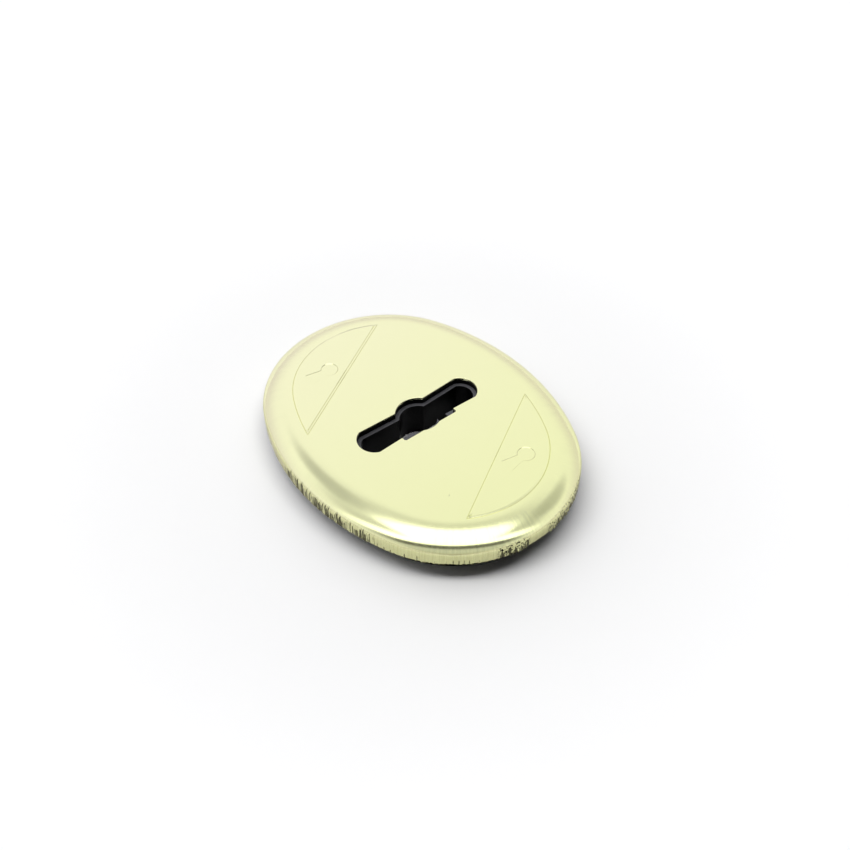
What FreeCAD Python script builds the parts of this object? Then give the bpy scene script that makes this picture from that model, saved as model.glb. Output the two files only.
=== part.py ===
import FreeCAD, Part
import Sketcher
import math
import os

# Oval keyhole escutcheon for a double-bit lock: a pressed sheet-metal cover clipped over a moulded base.
# +X runs along the oval towards the pry notch, +Y along the key slot, +Z out of the door.
# The origin is on the back face, on the axis of the keyhole.

doc = FreeCAD.newDocument("escutcheon")

# Driving dimensions, in millimetres and degrees.
SIZES = {
    # cover
    "overall_height": 9.2,        # back face to the flat top
    "cover_length": 74.0,
    "cover_width": 57.0,
    "end_radius_margin": 2.5,     # half the cover's width less the radius of its end arcs
    "sheet_thickness": 0.5,
    "cover_depth": 5.4,           # flat top to the trimmed edge of the skirt
    "shoulder_radius": 8.4,       # gentle arc from the flat top
    "shoulder_angle": 44.0,       # slope where the gentle arc meets the corner arc
    "corner_radius": 1.2,         # tight arc into the skirt
    "panel_margin": 0.25,         # flat rim between the shoulder and the two raised panels
    "panel_gap": 37.2,            # plain band between the two panels
    "panel_angle": 30.0,          # the band's slant from the key slot
    "panel_rise": 0.12,
    "pry_notch_width": 6.0,
    "pry_notch_height": 0.55,
    # key slot
    "hole_radius": 4.75,          # the round middle, for the key's stem
    "slot_half_width": 2.93,      # at the middle
    "slot_flare_angle": 2.36,     # each long edge leans outwards by this
    "slot_tip_centre": 11.09,
    "slot_tip_bulge": 0.333,      # round tip's radius beyond the slot's half width there
    "relief_reach": 4.28,         # straight relief on the +X side of the slot
    "relief_length": 13.3,
    "relief_corner": 0.4,
    # base
    "snap_clearance": 0.1,        # between the skirt and the base's flange
    "edge_lift": 0.3,             # flange's lower face above the skirt's edge
    "plinth_inset": 2.6,          # plinth side, inside the skirt's outer face
    "deck_inset": 0.6,            # deck side, inside the edge of the flat top
    "ledge_depth": 1.55,          # flat top to the ledge in the slot
    "ledge_width": 0.83,
    "lip_notch_length": 2.2,      # gap in the ledge beside the round middle
    "screw_spacing": 48.0,
    "screw_hole_radius": 2.15,
    "screw_head_radius": 4.2,
    "screw_head_depth": 3.0,
    "rib_radius": 0.6,            # small upright ribs that grip the skirt
    "rib_reach": 0.08,
}

sheet = doc.addObject("Spreadsheet::Sheet", "Sizes")
for row, (alias, value) in enumerate(SIZES.items(), start=1):
    sheet.set("A%d" % row, alias)
    sheet.set("B%d" % row, str(value))
    sheet.setAlias("B%d" % row, alias)
doc.recompute()


def value(alias):
    """Plain number of one cell."""
    return float(sheet.get(alias))


# Expressions that several features share.
FLAT_TOP = "Sizes.overall_height"
SKIRT_EDGE = "(Sizes.overall_height - Sizes.cover_depth)"
HALF_LENGTH = "Sizes.cover_length / 2"
HALF_WIDTH = "Sizes.cover_width / 2"
END_RADIUS = "(Sizes.cover_width / 2 - Sizes.end_radius_margin)"
SHEET_UNDERSIDE = "(Sizes.overall_height - Sizes.sheet_thickness)"
SLOT_TIP_RADIUS = (
    "(Sizes.slot_half_width + Sizes.slot_tip_centre * tan(Sizes.slot_flare_angle * 1 deg)"
    " + Sizes.slot_tip_bulge)"
)
SHOULDER_DROP = (
    "(Sizes.shoulder_radius * (1 - cos(Sizes.shoulder_angle * 1 deg))"
    " + Sizes.corner_radius * cos(Sizes.shoulder_angle * 1 deg))"
)
SHOULDER_WIDTH = (
    "(Sizes.shoulder_radius * sin(Sizes.shoulder_angle * 1 deg)"
    " + Sizes.corner_radius * (1 - sin(Sizes.shoulder_angle * 1 deg)))"
)

shoulder_slope = math.radians(value("shoulder_angle"))
shoulder_drop = (value("shoulder_radius") * (1 - math.cos(shoulder_slope))
                 + value("corner_radius") * math.cos(shoulder_slope))
shoulder_width = (value("shoulder_radius") * math.sin(shoulder_slope)
                  + value("corner_radius") * (1 - math.sin(shoulder_slope)))


def vec(x, y, z=0.0):
    return FreeCAD.Vector(x, y, z)


def arc(cx, cy, radius, start, end):
    """Arc of a circle from angle start to angle end, in radians, anticlockwise."""
    return Part.ArcOfCircle(Part.Circle(vec(cx, cy), vec(0, 0, 1), radius), start, end)


def origin_plane(body, role):
    return [item for item in body.Origin.OriginFeatures if item.Role == role][0]


def new_sketch(body, name, role="XY_Plane", height=None):
    """Sketch on one of the body's own planes, lifted to a height given as an expression."""
    sketch = body.newObject("Sketcher::SketchObject", name)
    sketch.AttachmentSupport = [(origin_plane(body, role), "")]
    sketch.MapMode = "FlatFace"
    if height is not None:
        sketch.setExpression("AttachmentOffset.Base.z", height)
    return sketch


def bind(sketch, name, expression, *constraint):
    """Adds a dimension and ties it to the sheet."""
    index = sketch.addConstraint(Sketcher.Constraint(*constraint))
    sketch.renameConstraint(index, name)
    sketch.setExpression("Constraints." + name, expression)


half_length = value("cover_length") / 2
half_width = value("cover_width") / 2


def oval(body, name, height, inset="0", inset_value=0.0):
    """The cover's four-arc oval, moved inwards by inset, which is given as an expression and as a number."""
    end_r = half_width - value("end_radius_margin")
    end_x = half_length - end_r
    side_r = (end_x ** 2 + half_width ** 2 - end_r ** 2) / (2 * (half_width - end_r))
    side_y = side_r - half_width
    join = math.atan2(side_y, end_x)
    sketch = new_sketch(body, name, height=height)
    right, top, left, bottom = sketch.addGeometry([
        arc(end_x, 0, end_r - inset_value, -join, join),
        arc(0, -side_y, side_r - inset_value, join, math.pi - join),
        arc(-end_x, 0, end_r - inset_value, math.pi - join, math.pi + join),
        arc(0, side_y, side_r - inset_value, math.pi + join, 2 * math.pi - join),
    ], False)
    expression = {"a": HALF_LENGTH, "b": HALF_WIDTH, "e": END_RADIUS, "inset": inset}
    side_centre = "((({a} - {e})^2 + ({b})^2 - {e}^2) / (2 * ({b} - {e})) - {b})".format(**expression)
    sketch.addConstraint([
        Sketcher.Constraint("PointOnObject", right, 3, -1),
        Sketcher.Constraint("PointOnObject", top, 3, -2),
        Sketcher.Constraint("PointOnObject", left, 3, -1),
        Sketcher.Constraint("Tangent", right, 2, top, 1),
        Sketcher.Constraint("Vertical", right, 1, right, 2),
        Sketcher.Constraint("Horizontal", top, 1, top, 2),
        Sketcher.Constraint("Coincident", top, 2, left, 1),
        Sketcher.Constraint("Vertical", left, 1, left, 2),
        Sketcher.Constraint("Equal", left, right),
        Sketcher.Constraint("Coincident", left, 2, bottom, 1),
        Sketcher.Constraint("Coincident", bottom, 2, right, 1),
        Sketcher.Constraint("Equal", bottom, top),
    ])
    bind(sketch, "end_centre", "{a} - {e}".format(**expression), "DistanceX", -1, 1, right, 3, end_x)
    bind(sketch, "end_arc", "{e} - {inset}".format(**expression), "Radius", right, end_r - inset_value)
    bind(sketch, "side_centre", side_centre, "DistanceY", top, 3, -1, 1, side_y)
    return sketch


def pad(body, name, profile, length):
    feature = body.newObject("PartDesign::Pad", name)
    feature.Profile = profile
    feature.setExpression("Length", length)
    return feature


def pocket(body, name, profile, length):
    """Cuts from the sketch plane downwards."""
    feature = body.newObject("PartDesign::Pocket", name)
    feature.Profile = profile
    feature.setExpression("Length", length)
    return feature


def slot_sketches(body, name, height, inset, inset_value, with_relief):
    """The key slot in up to three outlines: the round middle, the flared slot and the straight relief."""
    middle = new_sketch(body, name + "_middle", height=height)
    circle = middle.addGeometry(Part.Circle(vec(0, 0), vec(0, 0, 1), value("hole_radius") - inset_value), False)
    middle.addConstraint(Sketcher.Constraint("Coincident", circle, 3, -1, 1))
    bind(middle, "radius", "Sizes.hole_radius - " + inset, "Radius", circle, value("hole_radius") - inset_value)

    flare = math.radians(value("slot_flare_angle"))
    tip_y = value("slot_tip_centre")
    lean = math.tan(flare)
    tip_r = value("slot_half_width") + tip_y * lean + value("slot_tip_bulge") - inset_value
    half = value("slot_half_width") - inset_value / math.cos(flare)
    # where the leaning edge x = half + y tan(flare) meets the tip's circle
    qa = 1 + lean ** 2
    qb = 2 * (half * lean - tip_y)
    qc = half ** 2 + tip_y ** 2 - tip_r ** 2
    meet_y = (-qb + math.sqrt(qb ** 2 - 4 * qa * qc)) / (2 * qa)
    meet_x = half + meet_y * lean
    meet = math.atan2(meet_y - tip_y, meet_x)
    slot = new_sketch(body, name + "_slot", height=height)
    upper, lower, ne, se, sw, nw = slot.addGeometry([
        arc(0, tip_y, tip_r, meet, math.pi - meet),
        arc(0, -tip_y, tip_r, math.pi + meet, 2 * math.pi - meet),
        Part.LineSegment(vec(half, 0), vec(meet_x, meet_y)),
        Part.LineSegment(vec(half, 0), vec(meet_x, -meet_y)),
        Part.LineSegment(vec(-half, 0), vec(-meet_x, -meet_y)),
        Part.LineSegment(vec(-half, 0), vec(-meet_x, meet_y)),
    ], False)
    slot.addConstraint([
        Sketcher.Constraint("Coincident", ne, 2, upper, 1),
        Sketcher.Constraint("Coincident", ne, 1, se, 1),
        Sketcher.Constraint("Coincident", se, 2, lower, 2),
        Sketcher.Constraint("Coincident", lower, 1, sw, 2),
        Sketcher.Constraint("Coincident", sw, 1, nw, 1),
        Sketcher.Constraint("Coincident", nw, 2, upper, 2),
        Sketcher.Constraint("PointOnObject", upper, 3, -2),
        Sketcher.Constraint("Symmetric", upper, 3, lower, 3, -1, 1),
        Sketcher.Constraint("Equal", upper, lower),
        Sketcher.Constraint("PointOnObject", ne, 1, -1),
        Sketcher.Constraint("Symmetric", ne, 1, sw, 1, -1, 1),
        Sketcher.Constraint("Vertical", ne, 2, se, 2),
        Sketcher.Constraint("Horizontal", upper, 1, upper, 2),
        Sketcher.Constraint("Horizontal", lower, 1, lower, 2),
    ])
    bind(slot, "tip_centre", "Sizes.slot_tip_centre", "DistanceY", -1, 1, upper, 3, tip_y)
    bind(slot, "tip_radius", SLOT_TIP_RADIUS + " - " + inset, "Radius", upper, tip_r)
    bind(slot, "half_width", "Sizes.slot_half_width - %s / cos(Sizes.slot_flare_angle * 1 deg)" % inset,
         "DistanceX", -1, 1, ne, 1, half)
    bind(slot, "edge_slope", "90 deg - Sizes.slot_flare_angle * 1 deg", "Angle", ne, math.pi / 2 - flare)

    sketches = [middle, slot]
    if with_relief:
        reach = value("relief_reach")
        relief_half = value("relief_length") / 2
        corner = value("relief_corner")
        relief = new_sketch(body, name + "_relief", height=height)
        bottom, se_arc, side, ne_arc, top, inner = relief.addGeometry([
            Part.LineSegment(vec(0, -relief_half), vec(reach - corner, -relief_half)),
            arc(reach - corner, -relief_half + corner, corner, -math.pi / 2, 0),
            Part.LineSegment(vec(reach, -relief_half + corner), vec(reach, relief_half - corner)),
            arc(reach - corner, relief_half - corner, corner, 0, math.pi / 2),
            Part.LineSegment(vec(reach - corner, relief_half), vec(0, relief_half)),
            Part.LineSegment(vec(0, relief_half), vec(0, -relief_half)),
        ], False)
        relief.addConstraint([
            Sketcher.Constraint("Tangent", bottom, 2, se_arc, 1),
            Sketcher.Constraint("Tangent", se_arc, 2, side, 1),
            Sketcher.Constraint("Tangent", side, 2, ne_arc, 1),
            Sketcher.Constraint("Tangent", ne_arc, 2, top, 1),
            Sketcher.Constraint("Coincident", top, 2, inner, 1),
            Sketcher.Constraint("Coincident", inner, 2, bottom, 1),
            Sketcher.Constraint("Horizontal", bottom),
            Sketcher.Constraint("Horizontal", top),
            Sketcher.Constraint("Vertical", side),
            Sketcher.Constraint("Equal", se_arc, ne_arc),
            Sketcher.Constraint("Symmetric", inner, 1, inner, 2, -1, 1),
            Sketcher.Constraint("PointOnObject", inner, 1, -2),
        ])
        bind(relief, "corner", "Sizes.relief_corner", "Radius", se_arc, corner)
        bind(relief, "reach", "Sizes.relief_reach", "DistanceX", -1, 1, side, 1, reach)
        bind(relief, "length", "Sizes.relief_length", "DistanceY", inner, 2, inner, 1, 2 * relief_half)
        sketches.append(relief)
    return sketches


def rectangle(sketch, x0, y0, x1, y1):
    """Closed rectangle; returns its bottom, right, top and left lines."""
    lines = sketch.addGeometry([
        Part.LineSegment(vec(x0, y0), vec(x1, y0)),
        Part.LineSegment(vec(x1, y0), vec(x1, y1)),
        Part.LineSegment(vec(x1, y1), vec(x0, y1)),
        Part.LineSegment(vec(x0, y1), vec(x0, y0)),
    ], False)
    for first, second in zip(lines, lines[1:] + lines[:1]):
        sketch.addConstraint(Sketcher.Constraint("Coincident", first, 2, second, 1))
    return lines


# Cover: the rim is one section swept round the oval, the flat top closes it.

cover = doc.addObject("PartDesign::Body", "cover")
cover.Label = "cover"

rim_path = oval(cover, "rim_path", SKIRT_EDGE)

top_z = value("overall_height")
edge_z = top_z - value("cover_depth")
land_z = top_z - shoulder_drop
thickness = value("sheet_thickness")
corner_r = value("corner_radius")
shoulder_r = value("shoulder_radius")
turn = math.pi / 2 - shoulder_slope
corner_x = half_length - corner_r
flat_x = half_length - shoulder_width

section = new_sketch(cover, "rim_section", "XZ_Plane")
(outer_wall, outer_corner, outer_shoulder, flat_end,
 inner_shoulder, inner_corner, inner_wall, trimmed) = section.addGeometry([
    Part.LineSegment(vec(half_length, edge_z), vec(half_length, land_z)),
    arc(corner_x, land_z, corner_r, 0, turn),
    arc(flat_x, top_z - shoulder_r, shoulder_r, turn, math.pi / 2),
    Part.LineSegment(vec(flat_x, top_z), vec(flat_x, top_z - thickness)),
    arc(flat_x, top_z - shoulder_r, shoulder_r - thickness, turn, math.pi / 2),
    arc(corner_x, land_z, corner_r - thickness, 0, turn),
    Part.LineSegment(vec(half_length - thickness, land_z), vec(half_length - thickness, edge_z)),
    Part.LineSegment(vec(half_length - thickness, edge_z), vec(half_length, edge_z)),
], False)
section.addConstraint([
    Sketcher.Constraint("Tangent", outer_wall, 2, outer_corner, 1),
    Sketcher.Constraint("Tangent", outer_corner, 2, outer_shoulder, 1),
    Sketcher.Constraint("Coincident", outer_shoulder, 2, flat_end, 1),
    Sketcher.Constraint("Coincident", flat_end, 2, inner_shoulder, 2),
    Sketcher.Constraint("Tangent", inner_shoulder, 1, inner_corner, 2),
    Sketcher.Constraint("Tangent", inner_corner, 1, inner_wall, 1),
    Sketcher.Constraint("Coincident", inner_wall, 2, trimmed, 1),
    Sketcher.Constraint("Coincident", trimmed, 2, outer_wall, 1),
    Sketcher.Constraint("Vertical", outer_wall),
    Sketcher.Constraint("Vertical", inner_wall),
    Sketcher.Constraint("Horizontal", trimmed),
    Sketcher.Constraint("Vertical", flat_end),
    Sketcher.Constraint("Vertical", outer_shoulder, 3, flat_end, 1),
    Sketcher.Constraint("Coincident", outer_corner, 3, inner_corner, 3),
    Sketcher.Constraint("Coincident", outer_shoulder, 3, inner_shoulder, 3),
])
bind(section, "reach", HALF_LENGTH, "DistanceX", -1, 1, outer_wall, 1, half_length)
bind(section, "edge_height", SKIRT_EDGE, "DistanceY", -1, 1, outer_wall, 1, edge_z)
bind(section, "top_height", FLAT_TOP, "DistanceY", -1, 1, flat_end, 1, top_z)
bind(section, "thickness", "Sizes.sheet_thickness", "DistanceX", trimmed, 1, trimmed, 2, thickness)
bind(section, "corner", "Sizes.corner_radius", "Radius", outer_corner, corner_r)
bind(section, "shoulder", "Sizes.shoulder_radius", "Radius", outer_shoulder, shoulder_r)
bind(section, "land_height", FLAT_TOP + " - " + SHOULDER_DROP, "DistanceY", -1, 1, outer_corner, 3, land_z)
doc.recompute()

rim = cover.newObject("PartDesign::AdditivePipe", "rim")
rim.Profile = section
rim.Spine = (rim_path, ["Edge1", "Edge2", "Edge3", "Edge4"])

flat = oval(cover, "flat_outline", SHEET_UNDERSIDE, SHOULDER_WIDTH, shoulder_width)
pad(cover, "flat_top", flat, "Sizes.sheet_thickness")

# The two D-shaped panels: one raised oval with a slanting plain band across its middle.
panels = oval(cover, "panel_outline", FLAT_TOP, "(%s + Sizes.panel_margin)" % SHOULDER_WIDTH,
              shoulder_width + value("panel_margin"))
pad(cover, "panels", panels, "Sizes.panel_rise")

band = new_sketch(cover, "band_outline")
band.AttachmentOffset = FreeCAD.Placement(vec(0, 0), FreeCAD.Rotation(vec(0, 0, 1), value("panel_angle")))
band.setExpression("AttachmentOffset.Base.z", FLAT_TOP + " + Sizes.panel_rise")
band.setExpression("AttachmentOffset.Rotation.Angle", "Sizes.panel_angle * 1 deg")
half_gap = value("panel_gap") / 2
band_reach = half_width
band_bottom, band_right, band_top, band_left = rectangle(band, -half_gap, -band_reach, half_gap, band_reach)
band.addConstraint([
    Sketcher.Constraint("Horizontal", band_bottom),
    Sketcher.Constraint("Horizontal", band_top),
    Sketcher.Constraint("Vertical", band_right),
    Sketcher.Constraint("Vertical", band_left),
    Sketcher.Constraint("Symmetric", band_bottom, 1, band_top, 1, -1, 1),
])
bind(band, "gap", "Sizes.panel_gap", "DistanceX", band_bottom, 1, band_bottom, 2, 2 * half_gap)
bind(band, "length", "Sizes.cover_width", "DistanceY", band_right, 1, band_right, 2, 2 * band_reach)
pocket(cover, "plain_band", band, "Sizes.panel_rise")

for outline in slot_sketches(cover, "cut", FLAT_TOP, "0", 0.0, True):
    pocket(cover, outline.Name.replace("cut", "key"), outline, "2 * Sizes.sheet_thickness")

notch = new_sketch(cover, "pry_outline", height=SKIRT_EDGE + " + Sizes.pry_notch_height")
notch_half = value("pry_notch_width") / 2
notch_depth = 2 * thickness
_, notch_outer, _, notch_inner = rectangle(notch, half_length - notch_depth, -notch_half,
                                           half_length + notch_depth, notch_half)
notch.addConstraint([
    Sketcher.Constraint("Symmetric", notch_outer, 1, notch_outer, 2, -1),
    Sketcher.Constraint("Symmetric", notch_inner, 1, notch_inner, 2, -1),
])
bind(notch, "inner", HALF_LENGTH + " - 2 * Sizes.sheet_thickness", "DistanceX", -1, 1, notch_inner, 1,
     half_length - notch_depth)
bind(notch, "outer", HALF_LENGTH + " + 2 * Sizes.sheet_thickness", "DistanceX", -1, 1, notch_outer, 1,
     half_length + notch_depth)
bind(notch, "outer_width", "Sizes.pry_notch_width", "DistanceY", notch_outer, 1, notch_outer, 2, 2 * notch_half)
bind(notch, "inner_width", "Sizes.pry_notch_width", "DistanceY", notch_inner, 2, notch_inner, 1, 2 * notch_half)
pocket(cover, "pry_notch", notch, "2 * Sizes.pry_notch_height")


# Base: a plinth on the door, a flange that fills the skirt and a deck that carries the flat top.

base = doc.addObject("PartDesign::Body", "base")
base.Label = "base"

FLANGE_BOTTOM = "(%s + Sizes.edge_lift)" % SKIRT_EDGE
FLANGE_TOP = "(%s - %s)" % (FLAT_TOP, SHOULDER_DROP)
LEDGE = "(%s - Sizes.ledge_depth)" % FLAT_TOP

plinth = oval(base, "plinth_outline", "0", "Sizes.plinth_inset", value("plinth_inset"))
pad(base, "plinth", plinth, FLANGE_BOTTOM)

flange = oval(base, "flange_outline", FLANGE_BOTTOM, "(Sizes.sheet_thickness + Sizes.snap_clearance)",
              thickness + value("snap_clearance"))
pad(base, "flange", flange, FLANGE_TOP + " - " + FLANGE_BOTTOM)

deck = oval(base, "deck_outline", FLANGE_TOP, "(%s + Sizes.deck_inset)" % SHOULDER_WIDTH,
            shoulder_width + value("deck_inset"))
pad(base, "deck", deck, SHEET_UNDERSIDE + " - " + FLANGE_TOP)

# Three upright ribs on the flange grip the skirt: one on each long side and one at the end away from the notch.
RIB_PLACE = "Sizes.sheet_thickness - Sizes.snap_clearance + Sizes.rib_reach - Sizes.rib_radius"
rib_inset = thickness + value("snap_clearance") - value("rib_reach") + value("rib_radius")
rib_x = half_length - rib_inset
rib_y = half_width - rib_inset
ribs = new_sketch(base, "rib_outlines", height=FLANGE_BOTTOM)
end_rib, near_rib, far_rib = ribs.addGeometry([
    Part.Circle(vec(-rib_x, 0), vec(0, 0, 1), value("rib_radius")),
    Part.Circle(vec(0, -rib_y), vec(0, 0, 1), value("rib_radius")),
    Part.Circle(vec(0, rib_y), vec(0, 0, 1), value("rib_radius")),
], False)
ribs.addConstraint([
    Sketcher.Constraint("PointOnObject", end_rib, 3, -1),
    Sketcher.Constraint("PointOnObject", near_rib, 3, -2),
    Sketcher.Constraint("Symmetric", near_rib, 3, far_rib, 3, -1, 1),
    Sketcher.Constraint("Equal", end_rib, near_rib),
    Sketcher.Constraint("Equal", end_rib, far_rib),
])
bind(ribs, "radius", "Sizes.rib_radius", "Radius", end_rib, value("rib_radius"))
bind(ribs, "end_place", HALF_LENGTH + " - " + RIB_PLACE, "DistanceX", end_rib, 3, -1, 1, rib_x)
bind(ribs, "side_place", HALF_WIDTH + " - " + RIB_PLACE, "DistanceY", -1, 1, far_rib, 3, rib_y)
pad(base, "grip_ribs", ribs, FLANGE_TOP + " - " + FLANGE_BOTTOM)

# The slot steps in at the ledge, so that the cover's outline shows a black wall and a narrower opening.
for outline in slot_sketches(base, "mouth", SHEET_UNDERSIDE, "0", 0.0, True):
    pocket(base, outline.Name + "_cut", outline, "Sizes.ledge_depth - Sizes.sheet_thickness")

for outline in slot_sketches(base, "throat", LEDGE, "Sizes.ledge_width", value("ledge_width"), False):
    pocket(base, outline.Name + "_cut", outline, LEDGE)

# A gap in the ledge beside the round middle, as long as the relief is wide there.
lip = new_sketch(base, "lip_notch_outline", height=LEDGE)
lip_start = value("hole_radius") - 2 * value("ledge_width")
lip_end = lip_start + value("lip_notch_length")
lip_reach = value("relief_reach")
lip_bottom, lip_right, lip_top, lip_left = rectangle(lip, 0, lip_start, lip_reach, lip_end)
lip.addConstraint([
    Sketcher.Constraint("Horizontal", lip_bottom),
    Sketcher.Constraint("Vertical", lip_right),
    Sketcher.Constraint("Horizontal", lip_top),
    Sketcher.Constraint("PointOnObject", lip_bottom, 1, -2),
    Sketcher.Constraint("PointOnObject", lip_left, 1, -2),
])
bind(lip, "reach", "Sizes.relief_reach", "DistanceX", -1, 1, lip_bottom, 2, lip_reach)
bind(lip, "start", "Sizes.hole_radius - 2 * Sizes.ledge_width", "DistanceY", -1, 1, lip_bottom, 2, lip_start)
bind(lip, "length", "Sizes.lip_notch_length", "DistanceY", lip_right, 1, lip_right, 2,
     value("lip_notch_length"))
pocket(base, "lip_notch", lip, "2 * Sizes.ledge_depth")

# Two holes for the fixing screws, with their heads sunk below the cover.
for name, radius, depth in [
    ("screw_holes", "screw_hole_radius", SHEET_UNDERSIDE),
    ("screw_heads", "screw_head_radius", "Sizes.screw_head_depth"),
]:
    outline = new_sketch(base, name + "_outline", height=SHEET_UNDERSIDE)
    spacing = value("screw_spacing")
    left_hole, right_hole = outline.addGeometry([
        Part.Circle(vec(-spacing / 2, 0), vec(0, 0, 1), value(radius)),
        Part.Circle(vec(spacing / 2, 0), vec(0, 0, 1), value(radius)),
    ], False)
    outline.addConstraint([
        Sketcher.Constraint("PointOnObject", left_hole, 3, -1),
        Sketcher.Constraint("Symmetric", left_hole, 3, right_hole, 3, -1, 1),
        Sketcher.Constraint("Equal", left_hole, right_hole),
    ])
    bind(outline, "radius", "Sizes." + radius, "Radius", left_hole, value(radius))
    bind(outline, "spacing", "Sizes.screw_spacing", "DistanceX", left_hole, 3, right_hole, 3, spacing)
    pocket(base, name, outline, depth)

doc.recompute()

for item in doc.Objects:
    if "Invalid" in item.State or "Error" in item.State:
        raise RuntimeError("%s did not recompute: %s" % (item.Name, item.State))

os.makedirs("parts", exist_ok=True)
for body in (cover, base):
    shape = body.Shape
    if shape.isNull() or not shape.isValid() or len(shape.Solids) != 1:
        raise RuntimeError("%s is not one valid solid" % body.Label)
    shape.exportStep("parts/%s.step" % body.Label)
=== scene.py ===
import math

import bmesh
import bpy
from mathutils import Matrix, Vector


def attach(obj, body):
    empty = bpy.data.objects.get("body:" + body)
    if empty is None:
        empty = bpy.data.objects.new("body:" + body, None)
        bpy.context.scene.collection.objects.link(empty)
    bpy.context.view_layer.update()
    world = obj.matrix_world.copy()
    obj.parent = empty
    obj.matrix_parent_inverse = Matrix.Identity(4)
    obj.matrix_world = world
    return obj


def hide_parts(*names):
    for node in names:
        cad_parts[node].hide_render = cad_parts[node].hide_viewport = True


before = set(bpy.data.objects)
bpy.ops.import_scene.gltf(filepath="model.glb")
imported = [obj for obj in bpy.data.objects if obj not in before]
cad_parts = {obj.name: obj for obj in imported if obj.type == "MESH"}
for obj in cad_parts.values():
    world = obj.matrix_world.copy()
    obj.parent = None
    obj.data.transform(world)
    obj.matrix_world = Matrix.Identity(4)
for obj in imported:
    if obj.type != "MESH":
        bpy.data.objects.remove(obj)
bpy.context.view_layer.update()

# Sizes in metres, angles in radians. The cover's oval has two end arcs and two side arcs.
MM = 0.001
HALF_LENGTH = 37.0 * MM
HALF_WIDTH = 28.5 * MM
END_RADIUS = 26.0 * MM
END_X = HALF_LENGTH - END_RADIUS
SIDE_RADIUS = (END_X ** 2 + HALF_WIDTH ** 2 - END_RADIUS ** 2) / (2 * (HALF_WIDTH - END_RADIUS))
SIDE_Y = SIDE_RADIUS - HALF_WIDTH
JOIN = math.atan2(SIDE_Y, END_X)
TOP = 9.2 * MM
EDGE = 3.8 * MM
SHEET = 0.5 * MM
SHOULDER_RADIUS = 8.4 * MM
SHOULDER_ANGLE = math.radians(44.0)
CORNER_RADIUS = 1.2 * MM
SHOULDER_WIDTH = SHOULDER_RADIUS * math.sin(SHOULDER_ANGLE) + CORNER_RADIUS * (1 - math.sin(SHOULDER_ANGLE))
LAND_TOP = TOP - SHOULDER_RADIUS * (1 - math.cos(SHOULDER_ANGLE)) - CORNER_RADIUS * math.cos(SHOULDER_ANGLE)

PANEL_MARGIN = 0.25 * MM
PANEL_CHORD = 18.6 * MM
PANEL_TURN = math.radians(30.0)
PANEL_RISE = 0.12 * MM
# Pressed border of the panels, as (distance in from its start, height): two creases along the left panel's
# straight side, with the second one faint on the right panel and left out along the curves.
LEFT_BORDER = ((0.0, 0.0), (0.07, -0.085), (0.15, 0.02), (0.46, 0.085), (0.53, 0.01), (0.62, 0.12))
RIGHT_BORDER = ((0.0, 0.0), (0.07, -0.06), (0.15, 0.04), (0.46, 0.112), (0.53, 0.116), (0.62, 0.12))
CURVED_BORDER = ((0.0, 0.0), (0.07, -0.075), (0.15, 0.03), (0.46, 0.108), (0.53, 0.115), (0.62, 0.12))

HOLE_RADIUS = 4.75 * MM
SLOT_HALF = 2.93 * MM
SLOT_FLARE = math.radians(2.36)
TIP_Y = 11.09 * MM
TIP_RADIUS = 3.72 * MM
RELIEF_REACH = 4.28 * MM
RELIEF_LENGTH = 13.3 * MM
RELIEF_CORNER = 0.4 * MM
NOTCH_WIDTH = 6.0 * MM
NOTCH_HEIGHT = 0.55 * MM
NOTCH_CORNER = 0.35 * MM
SLOT_EDGE_ROUNDING = 0.14 * MM
SLOT_ZONE = 8.0 * MM

# Keyhole figure of the panels: round head over a tail that narrows upwards.
MOTIF_PLACE = (22.3 * MM, 8.0 * MM)
MOTIF_HEAD_RADII = (1.72 * MM, 1.92 * MM)  # at the foot and at the head of the sloping wall
MOTIF_HEAD_Y = 1.6 * MM
MOTIF_TAIL_Y = -1.2 * MM
MOTIF_TAIL_SIZE = (3.4 * MM, 4.6 * MM)
MOTIF_TAIL_NECK = 0.42
MOTIF_TAIL_FOOT = (0.90, 0.955)
MOTIF_CUTTER_DEPTH = 0.14 * MM
MOTIF_CUTTER_SINK = 0.03 * MM

# Mesh steps, and how near two values count as the same.
END_STEPS = 112
SIDE_STEPS = 176
SHOULDER_STEPS = 14
CORNER_STEPS = 7
LAND_STEPS = 8
CROSS_CUTS = range(-21, 22, 2)  # along the panels' straight sides, in millimetres
SAME_LEVEL = 0.001 * MM
SAME_STEP = 0.012 * MM
SAME_PLACE = 0.004 * MM
CUT_THRESHOLD = 1e-6

# Stretches of the rim, in millimetres along it from the pry notch: start, end, fade and, for burrs, weight.
BURRS = ((-7.6, -3.9, 0.9, 1.0), (3.9, 12.5, 1.2, 1.0), (-56.0, -38.0, 4.0, 0.45))
BESIDE_NOTCH = (-3.5, 3.5, 0.7)
SCORED_LEFT = (-58.0, -36.0, 5.0)
TORN_FRONT = (-8.6, -3.2, 1.2)
TORN_BACK = (3.4, 16.0, 2.0)
SEEN_FRONT = (-60.0, 18.0, 6.0)
STREAKED = (-21.0, -2.0, 5.0)


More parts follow.
